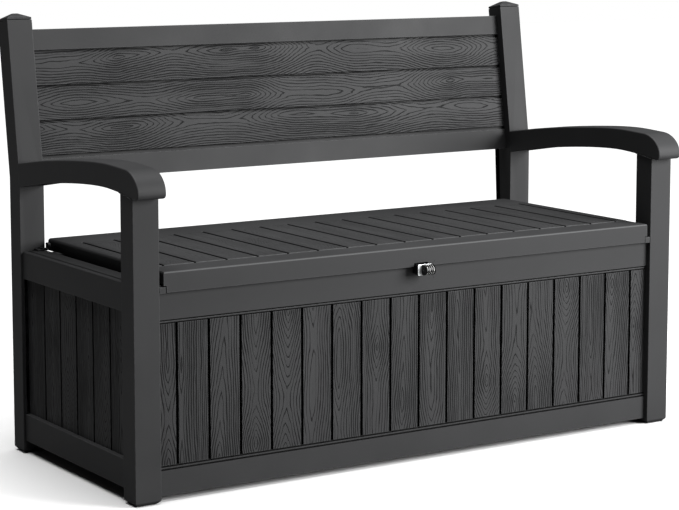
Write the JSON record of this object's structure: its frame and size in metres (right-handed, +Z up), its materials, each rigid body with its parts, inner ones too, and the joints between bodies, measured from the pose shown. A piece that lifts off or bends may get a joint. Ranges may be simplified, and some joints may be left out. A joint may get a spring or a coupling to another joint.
{
  "type": "storage bench",
  "caption": "Moulded-resin garden storage bench with a hinged slatted seat lid, curved armrests, a raked boarded back and a small combination cam lock.",
  "frame": {"origin": "middle of the footprint of the whole bench, on the surface that the four feet stand on", "axes": "+X to the bench's own right as seen from the front, the front faces -Y, +Z up"},
  "size_m": [1.275, 0.6016, 0.8778],
  "materials": {
    "resin_frame": "moulded resin with a faint brushed wood texture",
    "resin_planks": "moulded resin with an embossed wood grain",
    "resin_lid": "moulded resin, fine straight grain",
    "black_plastic": "satin black plastic",
    "zinc_steel": "zinc-plated steel",
    "lock_chrome": "satin chrome"
  },
  "bodies": {
    "frame": {"front_post_left": "resin_frame", "rear_post_left": "resin_frame", "post_cap_left": "resin_frame", "armrest_left": "resin_frame", "side_panel_left": "resin_planks", "hinge_bracket_left": "zinc_steel", "hinge_pin_left": "zinc_steel", "hinge_screw_left": "zinc_steel", "back_peg_lower_left": "black_plastic", "back_peg_upper_left": "black_plastic", "front_post_right": "resin_frame", "rear_post_right": "resin_frame", "post_cap_right": "resin_frame", "armrest_right": "resin_frame", "side_panel_right": "resin_planks", "hinge_bracket_right": "zinc_steel", "hinge_pin_right": "zinc_steel", "hinge_screw_right": "zinc_steel", "back_peg_lower_right": "black_plastic", "back_peg_upper_right": "black_plastic", "front_panel": "resin_planks", "rear_panel": "resin_planks", "backrest": "resin_planks", "floor_panel": "resin_frame", "lock_body": "black_plastic", "lock_nut": "zinc_steel"},
    "lid": {"lid_shell": "resin_lid", "lid_liner": "resin_lid", "lock_strike": "zinc_steel", "strike_screw_1": "zinc_steel", "strike_screw_2": "zinc_steel"},
    "lock_turner": {"lock_knob": "black_plastic", "lock_plate": "lock_chrome", "lock_spindle": "zinc_steel", "lock_cam": "zinc_steel", "wheel_axle": "zinc_steel"},
    "wheel_1": {"number_wheel_1": "black_plastic"},
    "wheel_2": {"number_wheel_2": "black_plastic"},
    "wheel_3": {"number_wheel_3": "black_plastic"},
    "wheel_4": {"number_wheel_4": "black_plastic"}
  },
  "joints": [
    {"name": "lid_hinge", "type": "hinge", "parent": "frame", "child": "lid", "pos_m": [0, 0.2044, 0.416], "axis": [-1, 0, 0], "range_deg": [0, 92]},
    {"name": "lock_turn", "type": "hinge", "parent": "frame", "child": "lock_turner", "pos_m": [0, -0.2816, 0.386], "axis": [0, 1, 0], "range_deg": [0, 90]},
    {"name": "number_wheel_1_spin", "type": "hinge", "parent": "lock_turner", "child": "wheel_1", "pos_m": [-0.00735, -0.2906, 0.386], "axis": [1, 0, 0], "continuous": true},
    {"name": "number_wheel_2_spin", "type": "hinge", "parent": "lock_turner", "child": "wheel_2", "pos_m": [-0.00245, -0.2906, 0.386], "axis": [1, 0, 0], "continuous": true},
    {"name": "number_wheel_3_spin", "type": "hinge", "parent": "lock_turner", "child": "wheel_3", "pos_m": [0.00245, -0.2906, 0.386], "axis": [1, 0, 0], "continuous": true},
    {"name": "number_wheel_4_spin", "type": "hinge", "parent": "lock_turner", "child": "wheel_4", "pos_m": [0.00735, -0.2906, 0.386], "axis": [1, 0, 0], "continuous": true}
  ]
}
